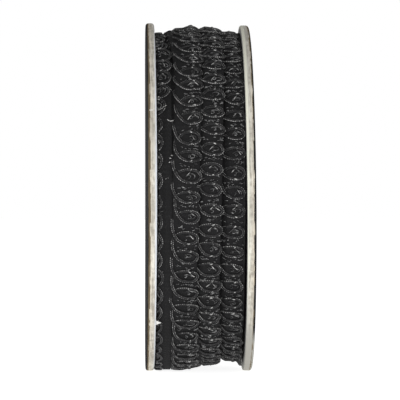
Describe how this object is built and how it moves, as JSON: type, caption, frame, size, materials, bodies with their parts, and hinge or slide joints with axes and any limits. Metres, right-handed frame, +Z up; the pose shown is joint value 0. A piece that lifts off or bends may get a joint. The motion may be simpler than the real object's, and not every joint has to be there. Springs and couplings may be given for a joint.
{
  "type": "spool of braid trim",
  "caption": "Narrow black scroll braid wound in lapped turns between two round greyboard flanges, ready to unreel and sew on.",
  "frame": {"origin": "middle of the spool's footprint, on the surface it stands on", "axes": "+Z up, X along the spool's axis, -Y towards the front of the winding"},
  "size_m": [0.0296, 0.1, 0.0997],
  "materials": {
    "greyboard": "matt",
    "flange_paper": "satin",
    "braid_yarn": "soft sheen"
  },
  "bodies": {
    "root": {"flange_left": "greyboard", "flange_right": "greyboard", "winding": "braid_yarn"}
  },
  "joints": []
}
